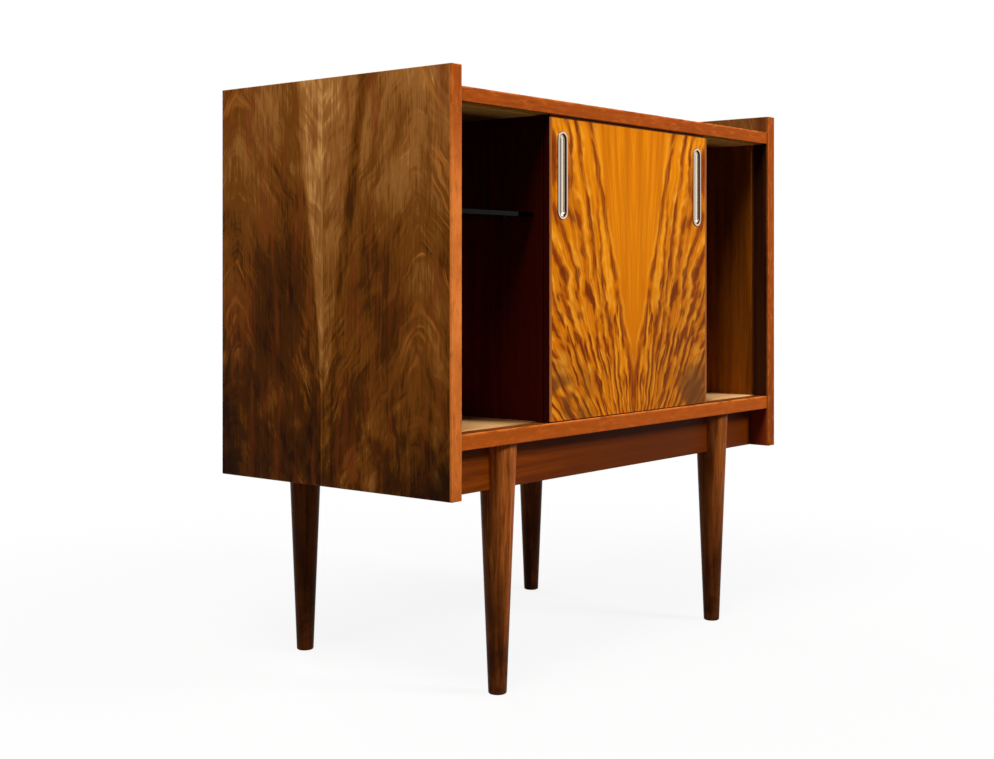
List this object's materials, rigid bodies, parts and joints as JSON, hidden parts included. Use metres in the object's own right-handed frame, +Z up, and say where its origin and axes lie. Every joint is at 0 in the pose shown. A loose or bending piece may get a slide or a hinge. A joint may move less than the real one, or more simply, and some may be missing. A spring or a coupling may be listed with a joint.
{
  "type": "cellarette",
  "caption": "Low veneered cabinet on tapered turned legs, with a sliding door in front of a middle compartment, open niches beside it and raised sides.",
  "frame": {"origin": "on the floor, under the middle of the cabinet", "axes": "+X to the right as seen from the front, +Y from the front to the back, +Z up"},
  "size_m": [0.76, 0.402, 0.759],
  "materials": {
    "side_veneer": "satin lacquered walnut veneer, book-matched",
    "front_lipping": "satin lacquered solid red-brown lipping",
    "case_veneer": "satin lacquered dark walnut veneer",
    "door_veneer": "satin lacquered figured golden veneer, book-matched",
    "door_lipping": "satin lacquered solid lipping",
    "partition_veneer": "satin dark veneer",
    "light_lining": "matt light veneer",
    "wall_lining": "satin brown veneer",
    "back_board": "raw thin plywood",
    "leg_wood": "satin lacquered stained beech",
    "rail_wood": "satin lacquered veneer",
    "plain_wood": "raw hardwood",
    "shelf_glass": "clear with ground edges",
    "bright_metal": "polished nickel plate",
    "steel": "plain zinc-plated steel"
  },
  "bodies": {
    "case": {"side_panel_left": "side_veneer", "side_panel_right": "side_veneer", "side_lipping_left": "front_lipping", "side_lipping_right": "front_lipping", "top_panel": "case_veneer", "bottom_panel": "case_veneer", "top_lipping": "front_lipping", "bottom_lipping": "front_lipping", "case_dowels": "plain_wood", "back_panel": "back_board", "floor_liner": "light_lining", "ceiling_liner": "light_lining", "wall_liner_left": "wall_lining", "wall_liner_right": "wall_lining", "partition_left": "partition_veneer", "partition_right": "partition_veneer", "glass_shelf": "shelf_glass", "shelf_pins": "steel", "leg_front_left": "leg_wood", "leg_front_right": "leg_wood", "leg_back_left": "leg_wood", "leg_back_right": "leg_wood", "leg_screws": "steel", "rail_front": "rail_wood", "rail_back": "rail_wood", "corner_blocks": "plain_wood"},
    "door": {"door_panel": "door_veneer", "door_lipping_left": "door_lipping", "door_lipping_right": "door_lipping", "door_runner": "plain_wood", "door_guide": "plain_wood", "pull_left": "bright_metal", "pull_right": "bright_metal"}
  },
  "joints": [
    {"name": "door_slide", "type": "slide", "parent": "case", "child": "door", "axis": [1, 0, 0], "range_m": [-0.1725, 0.1725]}
  ]
}
